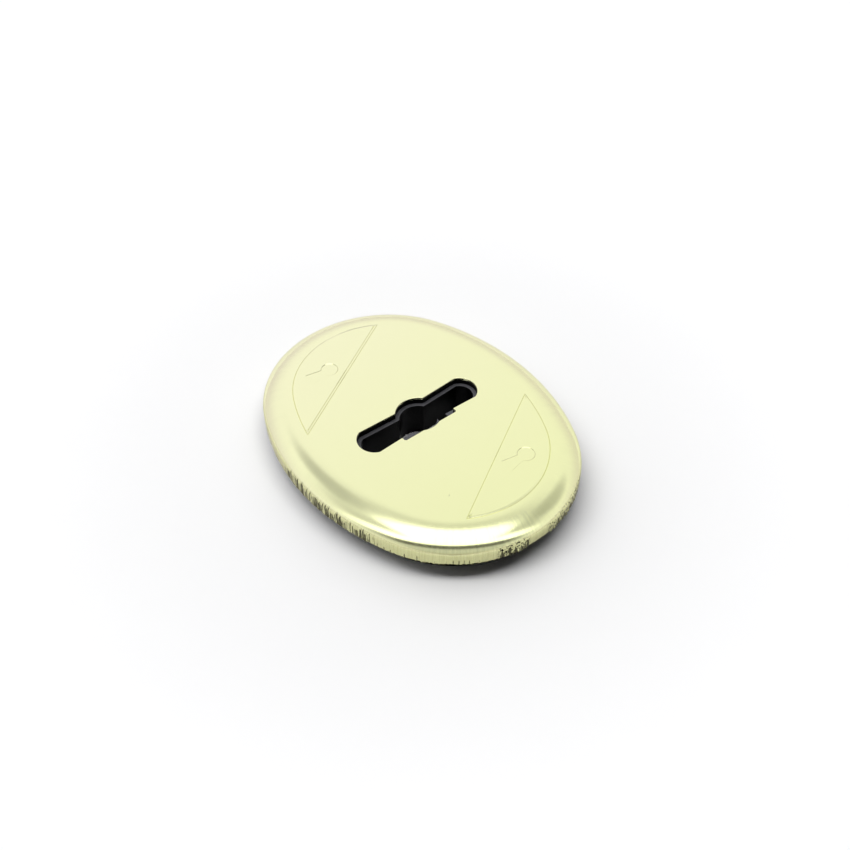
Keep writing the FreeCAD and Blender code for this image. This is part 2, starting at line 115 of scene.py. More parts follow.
# Colours.
GOLD = (0.868, 0.890, 0.500, 1)
GOLD_FAR_END = (0.912, 0.906, 0.605, 1)
GRAIN_SHADE = (0.55, 0.56, 0.25, 1)
# painted shade in the panels' creases and on the motifs' walls
PAINTED_CREASE_SHADE = (0.52, 0.52, 0.27, 1)
STREAK_SHADE = (0.58, 0.62, 0.37, 1)
# painted shade over the land and the corner above it, with its draw lines
LAND_LINES_AND_PAINTED_SHADE = (0.565, 0.555, 0.275, 1)
SCORED_DARK = (0.020, 0.017, 0.012, 1)
PINHOLE = (0.12, 0.11, 0.06, 1)
GOLD_EDGE_TINT = (0.86, 0.83, 0.77, 1)
# painted shade on the moulding's walls, painted light with dust on its level faces
BLACK_WALL_PAINTED_SHADE = (0.0016, 0.0016, 0.0018, 1)
BLACK_DUST_AND_PAINTED_LIGHT = (0.098, 0.098, 0.110, 1)
BLACK_TEXTURE = (0.035, 0.035, 0.040, 1)
BLACK_SPECK = (0.16, 0.16, 0.17, 1)
# painted shade on the floor near the object
FLOOR_NEAR_PAINTED_SHADE = (0.890, 0.890, 0.896, 1)
FLOOR_FAR = (0.955, 0.955, 0.960, 1)
FLOOR_SPECK = (0.5, 0.5, 0.5, 1)
WHITE = (1, 1, 1, 1)
LOW_SKY_TINT = (1.0, 0.955, 1.03, 1)


# Modelling helpers.

def let_go():
    """Leaves nothing selected."""
    bpy.ops.object.select_all(action="DESELECT")


def take(obj):
    """Makes obj the one selected and active object."""
    let_go()
    obj.select_set(True)
    bpy.context.view_layer.objects.active = obj
    return obj


def edit(obj, kind="VERT"):
    """Opens obj in edit mode."""
    take(obj)
    bpy.ops.object.mode_set(mode="EDIT")
    bpy.ops.mesh.select_mode(type=kind)


def done():
    """Leaves edit mode."""
    bpy.ops.object.mode_set(mode="OBJECT")


def pick(obj, verts=None, edges=None, faces=None):
    """Selects, in edit mode, what passes the tests given; returns how many."""
    mesh = bmesh.from_edit_mesh(obj.data)
    bpy.ops.mesh.select_all(action="DESELECT")
    count = 0
    for group, test in ((mesh.verts, verts), (mesh.edges, edges), (mesh.faces, faces)):
        if test:
            for item in group:
                if test(item):
                    item.select_set(True)
                    count += 1
    bmesh.update_edit_mesh(obj.data, loop_triangles=False, destructive=False)
    return count


def lowest(item):
    """Lowest height of an edge or face."""
    return min(v.co.z for v in item.verts)


def named(name):
    """The object just made, with its name."""
    obj = bpy.context.active_object
    obj.name = name
    obj.data.name = name
    return obj


def settle(obj):
    """Puts an object's place, turn and size into its mesh."""
    take(obj)
    bpy.ops.object.transform_apply(location=True, rotation=True, scale=True)
    return obj


def apply_modifier(obj, kind, **settings):
    """Adds a modifier with these settings and applies it."""
    take(obj)
    modifier = obj.modifiers.new(kind.lower(), kind)
    for key, value in settings.items():
        setattr(modifier, key, value)
    bpy.ops.object.modifier_apply(modifier=modifier.name)


def combine(obj, other, operation="DIFFERENCE"):
    """Takes the other shape out of obj, or adds it, and removes the other."""
    apply_modifier(obj, "BOOLEAN", operation=operation, object=other, solver="EXACT")
    bpy.data.objects.remove(other)


# Cover.

def rim_profile():
    """Outer face of the rim as (inset from the oval, height), from the flat top to the trimmed edge."""
    points = []
    for i in range(SHOULDER_STEPS + 1):
        slope = SHOULDER_ANGLE * i / SHOULDER_STEPS
        points.append((SHOULDER_WIDTH - SHOULDER_RADIUS * math.sin(slope),
                       TOP - SHOULDER_RADIUS * (1 - math.cos(slope))))
    for i in range(1, CORNER_STEPS + 1):
        slope = SHOULDER_ANGLE + (math.pi / 2 - SHOULDER_ANGLE) * i / CORNER_STEPS
        points.append((CORNER_RADIUS * (1 - math.sin(slope)), LAND_TOP + CORNER_RADIUS * math.cos(slope)))
    for i in range(1, LAND_STEPS + 1):
        points.append((0.0, LAND_TOP + (EDGE - LAND_TOP) * i / LAND_STEPS))
    return points


def trace(name, points):
    """A new object, open in edit mode, with one line drawn point by point."""
    let_go()
    bpy.ops.mesh.primitive_plane_add(size=MM)
    line = named(name)
    edit(line)
    bpy.ops.mesh.select_all(action="SELECT")
    bpy.ops.mesh.merge(type="CENTER")
    bpy.ops.transform.translate(value=points[0])
    for start, end in zip(points, points[1:]):
        bpy.ops.mesh.extrude_vertices_move(TRANSFORM_OT_translate={"value": end - start})
    return line


def draw_rim():
    """The rim's section, traced at the +X tip, then spun round the four arcs."""
    cover = trace("pressed_cover", [Vector((HALF_LENGTH - inset, 0, height)) for inset, height in rim_profile()])
    bpy.ops.mesh.select_all(action="SELECT")
    side_turn = math.pi - 2 * JOIN
    for steps, turn, centre in (
        (END_STEPS, JOIN, (END_X, 0, 0)),
        (SIDE_STEPS, side_turn, (0, -SIDE_Y, 0)),
        (2 * END_STEPS, 2 * JOIN, (-END_X, 0, 0)),
        (SIDE_STEPS, side_turn, (0, SIDE_Y, 0)),
        (END_STEPS, JOIN, (END_X, 0, 0)),
    ):
        bpy.ops.mesh.spin(steps=steps, angle=-turn, center=centre, axis=(0, 0, 1))
    bpy.ops.mesh.select_all(action="SELECT")
    bpy.ops.mesh.remove_doubles(threshold=SAME_PLACE / 2)
    return cover


def close_top(cover):
    """Flat top with a narrow margin, and the two raised panels with creased borders."""
    pick(cover, edges=lambda e: e.is_boundary and lowest(e) > TOP - SAME_STEP)
    bpy.ops.mesh.edge_face_add()
    bpy.ops.mesh.select_mode(type="FACE")
    steps = [distance * MM for distance, rise in CURVED_BORDER]
    for width in [PANEL_MARGIN] + [b - a for a, b in zip(steps, steps[1:])]:
        pick(cover, faces=lambda f: len(f.verts) > 100)
        bpy.ops.mesh.inset(thickness=width, depth=0, use_even_offset=True)
    across = Vector((math.cos(PANEL_TURN), math.sin(PANEL_TURN), 0))
    for side in (1, -1):
        for step in steps:
            pick(cover, faces=lambda f: lowest(f) > TOP - SAME_LEVEL)
            bpy.ops.mesh.bisect(plane_co=across * (PANEL_CHORD + step) * side, plane_no=across,
                                threshold=CUT_THRESHOLD)
    # short stretches, so that the creases stay even where they turn into the curve
    lengthwise = Vector((-across.y, across.x, 0))
    for place in CROSS_CUTS:
        pick(cover, faces=lambda f: lowest(f) > TOP - SAME_LEVEL
             and 0 < abs(f.calc_center_median().dot(across)) - PANEL_CHORD < steps[-1])
        bpy.ops.mesh.bisect(plane_co=lengthwise * place * MM, plane_no=lengthwise, threshold=CUT_THRESHOLD)
    bpy.ops.mesh.select_mode(type="VERT")
    rim = SHOULDER_WIDTH + PANEL_MARGIN

    def border(v):
        """Distance in from the panel's straight side and from its curved side."""
        return abs(v.co.dot(across)) - PANEL_CHORD, arc_place(v.co.x, v.co.y)[1] - rim

    def step_at(v, number, side=0):
        """Whether a vertex lies on that step of the border: side is 0 for the curve, else the panel's side."""
        chord, curve = border(v)
        near = min(chord, curve)
        if number == len(steps) - 1:
            return near > steps[-1] - SAME_STEP
        if abs(near - steps[number]) > SAME_STEP:
            return False
        return curve <= chord if side == 0 else chord < curve and v.co.dot(across) * side > 0

    last = len(steps) - 1
    for number in range(1, last):
        for side, shape in ((1, RIGHT_BORDER), (-1, LEFT_BORDER), (0, CURVED_BORDER)):
            if pick(cover, verts=lambda v: abs(v.co.z - TOP) < SAME_LEVEL and step_at(v, number, side)):
                bpy.ops.transform.translate(value=(0, 0, shape[number][1] * MM))
    pick(cover, verts=lambda v: abs(v.co.z - TOP) < SAME_LEVEL and step_at(v, last))
    bpy.ops.transform.translate(value=(0, 0, PANEL_RISE))
    # lines through the middle and through both motifs, so that no flat face gets a hole inside it
    deepest = min(rise for distance, rise in LEFT_BORDER + RIGHT_BORDER + CURVED_BORDER) * MM
    for place in (-MOTIF_PLACE[0], 0.0, MOTIF_PLACE[0]):
        pick(cover, faces=lambda f: lowest(f) > TOP + deepest - SAME_STEP)
        bpy.ops.mesh.bisect(plane_co=(place, 0, 0), plane_no=(1, 0, 0), threshold=CUT_THRESHOLD)


def motif_cutter(side):
    """A shallow keyhole figure with sloping walls, the right way up in each panel."""
    place = Vector((MOTIF_PLACE[0] * side, MOTIF_PLACE[1] * side, TOP + PANEL_RISE - MOTIF_CUTTER_SINK))
    foot, head = MOTIF_HEAD_RADII
    let_go()
    bpy.ops.mesh.primitive_cone_add(vertices=64, radius1=foot, radius2=head, depth=MOTIF_CUTTER_DEPTH,
                                    location=place + Vector((0, MOTIF_HEAD_Y, 0)))
    figure = settle(bpy.context.active_object)
    let_go()
    bpy.ops.mesh.primitive_cube_add(size=1, location=place + Vector((0, MOTIF_TAIL_Y, 0)),
                                    scale=(*MOTIF_TAIL_SIZE, MOTIF_CUTTER_DEPTH))
    tail = settle(bpy.context.active_object)
    edit(tail)
    pick(tail, verts=lambda v: v.co.y > place.y)
    bpy.ops.transform.resize(value=(MOTIF_TAIL_NECK, 1, 1), center_override=place)
    pick(tail, verts=lambda v: v.co.z < place.z)
    bpy.ops.transform.resize(value=(*MOTIF_TAIL_FOOT, 1), center_override=place + Vector((0, MOTIF_TAIL_Y, 0)))
    done()
    combine(figure, tail, "UNION")
    return figure


def slot_outline():
    """The key slot's outline from the round middle's +X side: middle, relief, flank, round end and back again."""
    def arc(centre_x, centre_y, radius, start, end, steps):
        turns = [start + (end - start) * i / steps for i in range(steps + 1)]
        return [(centre_x + radius * math.cos(turn), centre_y + radius * math.sin(turn)) for turn in turns]

    lean = math.tan(SLOT_FLARE)

    def meet(centre_y, radius):
        """Where the leaning flank meets a circle on the slot's axis."""
        a = 1 + lean ** 2
        b = 2 * (SLOT_HALF * lean - centre_y)
        c = SLOT_HALF ** 2 + centre_y ** 2 - radius ** 2
        y = (-b + math.sqrt(b * b - 4 * a * c)) / (2 * a)
        return SLOT_HALF + y * lean, y

    tip_x, tip_y = meet(TIP_Y, TIP_RADIUS)
    hole_x, hole_y = meet(0, HOLE_RADIUS)
    tip_turn = math.atan2(tip_y - TIP_Y, tip_x)
    hole_turn = math.atan2(hole_y, hole_x)
    relief_turn = math.acos(RELIEF_REACH / HOLE_RADIUS)
    relief_y = RELIEF_LENGTH / 2
    upper = arc(0, 0, HOLE_RADIUS, 0, relief_turn, 8)
    upper += arc(RELIEF_REACH - RELIEF_CORNER, relief_y - RELIEF_CORNER, RELIEF_CORNER, 0, math.pi / 2, 6)
    upper.append((SLOT_HALF + relief_y * lean, relief_y))
    upper += arc(0, TIP_Y, TIP_RADIUS, tip_turn, math.pi - tip_turn, 40)
    upper += arc(0, 0, HOLE_RADIUS, math.pi - hole_turn, math.pi, 16)
    return upper + [(x, -y) for x, y in reversed(upper[1:-1])]


def slot_cutter():
    """The slot's outline, filled and drawn up through the sheet."""
    reach = 4 * SHEET
    cutter = trace("slot_cutter", [Vector((x, y, TOP - reach)) for x, y in slot_outline()])
    pick(cutter, verts=lambda v: len(v.link_edges) == 1)
    bpy.ops.mesh.edge_face_add()
    bpy.ops.mesh.select_all(action="SELECT")
    bpy.ops.mesh.edge_face_add()
    bpy.ops.mesh.extrude_region_move(TRANSFORM_OT_translate={"value": (0, 0, 2 * reach)})
    bpy.ops.mesh.select_all(action="SELECT")
    bpy.ops.mesh.normals_make_consistent(inside=False)
    done()
    return cutter


def notch_cutter():
    """The pry notch, with its two upper corners rounded."""
    let_go()
    bpy.ops.mesh.primitive_cube_add(size=1, location=(HALF_LENGTH, 0, EDGE),
                                    scale=(4 * SHEET, NOTCH_WIDTH, 2 * NOTCH_HEIGHT))
    cutter = settle(bpy.context.active_object)
    edit(cutter, "EDGE")
    pick(cutter, edges=lambda e: lowest(e) > EDGE and abs(e.verts[0].co.x - e.verts[1].co.x) > MM)
    bpy.ops.mesh.bevel(offset=NOTCH_CORNER, segments=5, affect="EDGES")
    done()
    return cutter


QUARTER = END_RADIUS * JOIN + SIDE_RADIUS * (math.pi / 2 - JOIN)


def arc_place(x, y):
    """Distance along the oval from the +X tip, and inset from its outline."""
    side = 1 if y >= 0 else -1
    half = 1 if x >= 0 else -1
    ax, ay = abs(x), abs(y)
    turn = math.atan2(ay, ax - END_X)
    if turn < JOIN and ax > END_X * 0.2:
        along = END_RADIUS * turn
        inset = END_RADIUS - math.hypot(ax - END_X, ay)
    else:
        turn = math.atan2(ay + SIDE_Y, ax)
        along = END_RADIUS * JOIN + SIDE_RADIUS * (turn - JOIN)
        inset = SIDE_RADIUS - math.hypot(ax, ay + SIDE_Y)
    if half < 0:
        along = 2 * QUARTER - along
    return side * along, inset


def lay_rim_map(cover):
    """UV map whose U runs along the oval and V inwards from its outline, both in metres."""
    layer = cover.data.uv_layers.new(name="rim")
    places = [arc_place(v.co.x, v.co.y) for v in cover.data.vertices]
    for face in cover.data.polygons:
        us = [places[i][0] for i in face.vertices]
        wrap = max(us) - min(us) > 2 * QUARTER
        for loop, vertex in zip(face.loop_indices, face.vertices):
            u, v = places[vertex]
            if wrap and u < 0:
                u += 4 * QUARTER
            layer.data[loop].uv = (u, v)


def weigh(obj, name, weight):
    """Vertex group whose weights come from a test of each vertex's place."""
    group = obj.vertex_groups.new(name=name)
    for vertex in obj.data.vertices:
        value = weight(vertex.co)
        if value > 0:
            group.add([vertex.index], min(value, 1.0), "REPLACE")
    return group.name


def clouds(name, size, contrast, depth):
    """Cloud texture that shifts the trimmed edge."""
    texture = bpy.data.textures.new(name, "CLOUDS")
    texture.noise_scale = size
    texture.noise_depth = depth
    texture.contrast = contrast
    return texture


def span(value, start, end, soft):
    """1 between start and end, fading to 0 over soft on either side."""
    return max(0.0, min(1.0, (value - start) / soft + 1, (end - value) / soft + 1))


def rough_edge(cover):
    """Ragged trimmed edge of the land, with burrs on both sides of the pry notch and a dented stretch."""
    def along_in(co, start, end, fade):
        return span(arc_place(co.x, co.y)[0], start * MM, end * MM, fade * MM)

    def low(co):
        return span(co.z, 0, EDGE + 0.02 * MM, 0.12 * MM)

    def land(co):
        return span(co.z, 0, EDGE + 0.9 * MM, 1.1 * MM) if co.z < LAND_TOP - 0.1 * MM else 0

    def clear(co):
        return 1 - along_in(co, *BESIDE_NOTCH)

    def burr(co):
        return max(weight * along_in(co, start, end, fade) for start, end, fade, weight in BURRS)

    # cloud size and shift in millimetres
    for name, weight, size, contrast, depth, direction, shift, level in (
        ("teeth", lambda co: low(co) * clear(co), 0.34, 2.4, 1, "Z", 0.30, 0.35),
        ("wander", lambda co: low(co) * clear(co), 3.1, 1.6, 1, "Z", 0.22, 0.4),
        ("burrs", lambda co: land(co) * burr(co), 0.55, 2.2, 2, "NORMAL", 0.26, 0.45),
        ("torn", lambda co: low(co) * burr(co), 0.9, 2.5, 1, "Z", 0.42, 0.35),
    ):
        group = weigh(cover, name, weight)
        apply_modifier(cover, "DISPLACE", texture=clouds(name, size * MM, contrast, depth), vertex_group=group,
                       direction=direction, strength=shift * MM, mid_level=level)
    # the long side stays within the width
    edit(cover)
    for side in (1, -1):
        if pick(cover, verts=lambda v: v.co.y * side > HALF_WIDTH):
            bpy.ops.transform.resize(value=(1, 0, 1), center_override=(0, side * HALF_WIDTH, 0))
    done()


def press_cover():
    """The whole cover: rim, top, ragged edge, sheet, slot, notch and motifs."""
    cover = draw_rim()
    close_top(cover)
    pick(cover, faces=lambda f: True)
    bpy.ops.mesh.normals_make_consistent(inside=False)
    done()
    rough_edge(cover)
    apply_modifier(cover, "SOLIDIFY", thickness=SHEET, offset=-1.0, use_even_offset=False)
    combine(cover, slot_cutter())
    combine(cover, notch_cutter())
    for side in (1, -1):
        combine(cover, motif_cutter(side))
    edit(cover)
    bpy.ops.mesh.select_all(action="SELECT")
    bpy.ops.mesh.remove_doubles(threshold=SAME_PLACE)
    bpy.ops.mesh.select_mode(type="EDGE")
    pick(cover, edges=lambda e: len(e.link_faces) == 2 and e.calc_face_angle(0) > 1.0
         and lowest(e) > TOP - SAME_STEP and abs(e.verts[0].co.x) < SLOT_ZONE)
    bpy.ops.mesh.bevel(offset=SLOT_EDGE_ROUNDING, segments=3, affect="EDGES")
    done()
    lay_rim_map(cover)
    take(cover)
    bpy.ops.object.shade_smooth_by_angle(angle=math.radians(32))
    apply_modifier(cover, "WEIGHTED_NORMAL", mode="FACE_AREA", weight=50, keep_sharp=True)
    return cover


# Materials.

def add(tree, kind, **settings):
    node = tree.nodes.new(kind)
    for key, value in settings.items():
        setattr(node, key, value)
    return node


def join(tree, source, target):
    tree.links.new(source, target)


def new_material(name):
    material = bpy.data.materials.new(name)
    material.use_nodes = True
    return material, material.node_tree, material.node_tree.nodes["Principled BSDF"]


def socket(tree, target, value):
    """Sets a socket to a number, a colour or another socket's output."""
    if isinstance(value, bpy.types.NodeSocket):
        join(tree, value, target)
    else:
        target.default_value = value


def maths(tree, operation, *values, clamp=False):
    node = add(tree, "ShaderNodeMath", operation=operation, use_clamp=clamp)
    for target, value in zip(node.inputs, values):
        socket(tree, target, value)
    return node.outputs[0]


def spread(tree, value, low, high, to_low=0.0, to_high=1.0, smooth=True):
    """Maps low..high to to_low..to_high, clamped."""
    node = add(tree, "ShaderNodeMapRange", interpolation_type="SMOOTHSTEP" if smooth else "LINEAR", clamp=True)
    for name, number in (("Value", value), ("From Min", low), ("From Max", high), ("To Min", to_low),
                         ("To Max", to_high)):
        socket(tree, node.inputs[name], number)
    return node.outputs["Result"]


def noise(tree, vector, scale=1.0, detail=2.0, roughness=0.5):
    node = add(tree, "ShaderNodeTexNoise")
    for name, value in (("Vector", vector), ("Scale", scale), ("Detail", detail), ("Roughness", roughness)):
        socket(tree, node.inputs[name], value)
    return node.outputs["Fac"]


def stretch(tree, vector, x, y, z):
    """Scales a place per axis, so that a noise of size 1 gets its grain."""
    node = add(tree, "ShaderNodeMapping")
    join(tree, vector, node.inputs["Vector"])
    node.inputs["Scale"].default_value = (x, y, z)
    return node.outputs["Vector"]


def triple(tree, x, y, z):
    node = add(tree, "ShaderNodeCombineXYZ")
    for target, value in zip(node.inputs, (x, y, z)):
        socket(tree, target, value)
    return node.outputs[0]


def tint(tree, factor, first, second, blend="MIX"):
    node = add(tree, "ShaderNodeMix", data_type="RGBA", blend_type=blend)
    socket(tree, node.inputs[0], factor)
    socket(tree, node.inputs[6], first)
    socket(tree, node.inputs[7], second)
    return node.outputs[2]


def raise_bump(tree, height, strength, distance, normal=None):
    node = add(tree, "ShaderNodeBump")
    node.inputs["Strength"].default_value = strength
    node.inputs["Distance"].default_value = distance
    join(tree, height, node.inputs["Height"])
    if normal:
        join(tree, normal, node.inputs["Normal"])
    return node.outputs["Normal"]


def between(tree, along, start, end, fade):
    """Mask of a stretch of the rim, given in millimetres."""
    rise = spread(tree, along, (start - fade) * MM, start * MM)
    fall = spread(tree, along, end * MM, (end + fade) * MM, 1.0, 0.0)
    return maths(tree, "MULTIPLY", rise, fall)


def axes(tree, vector):
    node = add(tree, "ShaderNodeSeparateXYZ")
    join(tree, vector, node.inputs[0])
    return node.outputs["X"], node.outputs["Y"], node.outputs["Z"]


def product(tree, *values):
    total = values[0]
    for value in values[1:]:
        total = maths(tree, "MULTIPLY", total, value)
    return total


def total_of(tree, *values):
    total = values[0]
    for value in values[1:]:
        total = maths(tree, "ADD", total, value)
    return total


def strongest(tree, *values):
    total = values[0]
    for value in values[1:]:
        total = maths(tree, "MAXIMUM", total, value)
    return total


def vector_value(tree, operation, vector, other=None):
    """Dot product, distance or length of a vector, as one value."""
    node = add(tree, "ShaderNodeVectorMath", operation=operation)
    join(tree, vector, node.inputs[0])
    if other is not None:
        node.inputs[1].default_value = other
    return node.outputs["Value"]


def speck_group():
    """Specks and dust over a surface, shared by the metal, the moulding and the floor."""
    group = bpy.data.node_groups.new("specks", "ShaderNodeTree")
    group.interface.new_socket("Place", in_out="INPUT", socket_type="NodeSocketVector")
    size = group.interface.new_socket("Size", in_out="INPUT", socket_type="NodeSocketFloat")
    size.default_value = 900.0
    share = group.interface.new_socket("Share", in_out="INPUT", socket_type="NodeSocketFloat")
    share.default_value = 0.7
    group.interface.new_socket("Mask", in_out="OUTPUT", socket_type="NodeSocketFloat")
    group.interface.new_socket("Haze", in_out="OUTPUT", socket_type="NodeSocketFloat")
    come = add(group, "NodeGroupInput")
    go = add(group, "NodeGroupOutput")
    fine = noise(group, come.outputs["Place"], come.outputs["Size"], 1.0)
    full = maths(group, "ADD", come.outputs["Share"], 0.05)
    join(group, spread(group, fine, come.outputs["Share"], full), go.inputs["Mask"])
    wide = maths(group, "MULTIPLY", come.outputs["Size"], 0.22)
    join(group, noise(group, come.outputs["Place"], wide, 3.0), go.inputs["Haze"])
    return group


def specks(tree, place, size, share):
    """Mask and haze of the specks, finer with a larger size and rarer with a larger share."""
    node = add(tree, "ShaderNodeGroup", node_tree=SPECKS)
    join(tree, place, node.inputs["Place"])
    node.inputs["Size"].default_value = size
    node.inputs["Share"].default_value = share
    return node.outputs["Mask"], node.outputs["Haze"]


# Single deep marks: where along the rim, half width and height above the edge in millimetres, and strength.
LAND_MARKS = (
    (-27.3, 0.13, 1.3, 0.85), (-26.6, 0.08, 0.7, 0.5), (-24.8, 0.11, 1.7, 0.8), (-21.4, 0.08, 0.9, 0.35),
    (-19.2, 0.07, 1.1, 0.3), (-17.9, 0.12, 1.5, 0.75), (-16.8, 0.12, 1.4, 0.8), (-15.8, 0.10, 1.5, 0.6),
    (-14.8, 0.11, 1.3, 0.7), (-12.9, 0.08, 1.0, 0.3), (-30.2, 0.12, 0.9, 0.8), (-31.6, 0.14, 1.0, 0.85),
    (-33.1, 0.10, 1.2, 0.7), (-35.0, 0.14, 1.2, 0.8), (-36.4, 0.12, 0.9, 0.8),
)


def scored_land(tree, place, along, height, land):
    """Marks that drawing and trimming left on the land: the soft lines, and the mask of all dark ones."""
    def lines(fine, tall, roughness):
        vector = triple(tree, product(tree, along, fine), 0.0, product(tree, height, tall))
        return noise(tree, vector, 1.0, 3.0, roughness)

    above = maths(tree, "SUBTRACT", height, EDGE)
    soft = lines(3300.0, 120.0, 0.7)

    # scored lines, dense where the drawing tool dragged, each up to its own height
    left_run = between(tree, along, *SCORED_LEFT)
    torn_front = between(tree, along, *TORN_FRONT)
    torn_back = between(tree, along, *TORN_BACK)
    rest = maths(tree, "SUBTRACT", 1.0, between(tree, along, *SEEN_FRONT))
    heavy = strongest(tree, product(tree, left_run, 0.92), torn_front, torn_back, product(tree, rest, 0.4))
    reach = noise(tree, triple(tree, product(tree, along, 1500.0), 3.7, 0.0), 1.0, 2.0)
    reach = spread(tree, reach, 0.32, 0.68, 0.4 * MM, 2.5 * MM, smooth=False)
    reach = total_of(tree, reach, product(tree, left_run, 1.1 * MM))
    under_reach = spread(tree, maths(tree, "SUBTRACT", above, reach), -0.35 * MM, 0.0, 1.0, 0.0)
    start = maths(tree, "SUBTRACT", 0.67, product(tree, heavy, 0.25))
    scored = spread(tree, lines(3300.0, 90.0, 0.65), start, total_of(tree, start, 0.06))
    scored = product(tree, scored, under_reach, product(tree, land, 0.88))

    # torn metal on both sides of the pry notch
    bite = spread(tree, noise(tree, place, 2100.0, 3.0, 0.6), 0.52, 0.58)
    torn = product(tree, strongest(tree, torn_front, product(tree, torn_back, 0.8)), bite, land)

    deep = []
    for centre, half, tall, strength in LAND_MARKS:
        near = maths(tree, "ABSOLUTE", maths(tree, "SUBTRACT", along, centre * MM))
        deep.append(product(tree, spread(tree, near, half * MM * 0.4, half * MM * 1.3, strength, 0.0),
                            spread(tree, above, tall * MM * 0.55, tall * MM, 1.0, 0.0)))
    deep = product(tree, strongest(tree, *deep), land)

    # shade along the trimmed edge
    lip = product(tree, spread(tree, above, 0.0, 0.28 * MM, 0.75, 0.0),
                  spread(tree, noise(tree, stretch(tree, place, 1700, 1700, 300), 1.0, 2.0), 0.40, 0.62))
    return soft, strongest(tree, scored, torn, deep, lip)


def pressed_line_painted_shade(tree, place, height):
    """Share of painted shade on the steep faces of the panels' borders and of the motifs, stronger on the motifs."""
    facing = axes(tree, add(tree, "ShaderNodeNewGeometry").outputs["True Normal"])[2]
    crease = product(tree, spread(tree, facing, 0.96, 0.84),
                     spread(tree, height, TOP - 0.22 * MM, TOP - 0.12 * MM))
    away = [vector_value(tree, "DISTANCE", place, (MOTIF_PLACE[0] * side, MOTIF_PLACE[1] * side, TOP))
            for side in (1, -1)]
    share = spread(tree, maths(tree, "MINIMUM", *away), 4.6 * MM, 5.2 * MM, 0.50, 0.18)
    return product(tree, crease, share)


def satin_gold():
    """Lacquered pale gold sheet: grain, cloudiness, streaks on the shoulder, marks on the land, and painted shade in
    the creases and over the land.
    """
    material, tree, bsdf = new_material("satin_gold")
    place = add(tree, "ShaderNodeTexCoord").outputs["Object"]
    along, inset, _ = axes(tree, add(tree, "ShaderNodeUVMap", uv_map="rim").outputs["UV"])
    height = axes(tree, place)[2]
    land = spread(tree, height, LAND_TOP + 1.05 * MM, LAND_TOP + 0.45 * MM)
    off_top = spread(tree, height, TOP - 0.02 * MM, TOP - 0.35 * MM)

    # fine grain along X, and a faint cloudiness of the lacquer
    grain = noise(tree, stretch(tree, place, 190, 3100, 3100), 1.0, 2.0)
    coarse = noise(tree, stretch(tree, place, 90, 900, 900), 1.0, 1.0)
    cloud = noise(tree, place, 420.0, 3.0)

    # streaks down the shoulder, strongest round the front right
    streak = noise(tree, triple(tree, product(tree, along, 1700.0), product(tree, inset, 90.0), 0.0), 1.0, 2.0, 0.6)
    streak_share = product(tree, off_top, total_of(tree, product(tree, between(tree, along, *STREAKED), 0.8), 0.2))

    draw, dark = scored_land(tree, place, along, height, land)
    pin, haze = specks(tree, place, 700.0, 0.83)

    # paler towards the far left end
    fade = vector_value(tree, "DOT_PRODUCT", place, (-0.95, -0.10, 0))
    colour = tint(tree, spread(tree, fade, -26 * MM, 30 * MM, smooth=False), GOLD, GOLD_FAR_END)
    mottle = total_of(tree, product(tree, grain, 0.6), product(tree, cloud, 0.4))
    for share, shade in (
        (spread(tree, mottle, 0.3, 0.7, 0.035, 0.0, smooth=False), GRAIN_SHADE),
        # painted shade on the steep faces of the creases and motifs
        (pressed_line_painted_shade(tree, place, height), PAINTED_CREASE_SHADE),
        (product(tree, streak_share, spread(tree, streak, 0.36, 0.72, 0.0, 0.36)), STREAK_SHADE),
        # painted shade over the whole land and the corner above it, varied by the soft draw lines
        (product(tree, land, spread(tree, draw, 0.30, 0.75, 0.48, 0.86)), LAND_LINES_AND_PAINTED_SHADE),
        (dark, SCORED_DARK),
        (product(tree, pin, 0.5), PINHOLE),
    ):
        colour = tint(tree, share, colour, shade)
    join(tree, colour, bsdf.inputs["Base Color"])

    rough = total_of(tree, spread(tree, height, TOP - 1.6 * MM, TOP - 0.1 * MM, 0.085, 0.15),
                     product(tree, grain, 0.04), product(tree, haze, 0.02), product(tree, land, 0.10))
    join(tree, maths(tree, "ADD", rough, product(tree, dark, 0.28), clamp=True), bsdf.inputs["Roughness"])
    bsdf.inputs["Metallic"].default_value = 1.0
    bsdf.inputs["Specular Tint"].default_value = GOLD_EDGE_TINT

    shape = raise_bump(tree, total_of(tree, product(tree, grain, 0.6), product(tree, coarse, 0.4)), 0.10, 0.004 * MM)
    shape = raise_bump(tree, product(tree, streak, streak_share), 0.55, 0.012 * MM, shape)
    scores = maths(tree, "SUBTRACT", product(tree, draw, land, 0.5), dark)
    join(tree, raise_bump(tree, scores, 0.5, 0.05 * MM, shape), bsdf.inputs["Normal"])
    return material


def black_moulding():
    """Matt black moulding, with painted shade making its walls deep black and painted light with dust making its
    level faces paler.
    """
    material, tree, bsdf = new_material("black_moulding")
    place = add(tree, "ShaderNodeTexCoord").outputs["Object"]
    facing = axes(tree, add(tree, "ShaderNodeNewGeometry").outputs["Normal"])[2]
    level = spread(tree, facing, 0.75, 0.97)
    pin, haze = specks(tree, place, 1500.0, 0.74)
    texture = noise(tree, place, 5200.0, 2.0, 0.6)
    # painted light with dust on the level faces, painted deep black shade on the walls
    colour = tint(tree, product(tree, level, spread(tree, haze, 0.3, 0.7, 0.75, 1.0)), BLACK_WALL_PAINTED_SHADE, BLACK_DUST_AND_PAINTED_LIGHT)
    colour = tint(tree, product(tree, level, spread(tree, texture, 0.35, 0.65, 0.0, 0.35)), colour, BLACK_TEXTURE)
    colour = tint(tree, product(tree, pin, level), colour, BLACK_SPECK)
    join(tree, colour, bsdf.inputs["Base Color"])
    rough = total_of(tree, product(tree, level, 0.22), spread(tree, haze, 0.3, 0.7, 0.30, 0.38))
    join(tree, rough, bsdf.inputs["Roughness"])
    join(tree, total_of(tree, product(tree, level, 0.20), 0.05), bsdf.inputs["Specular IOR Level"])
    join(tree, raise_bump(tree, texture, 0.35, 0.012 * MM), bsdf.inputs["Normal"])
    return material


# Floor, light and camera.

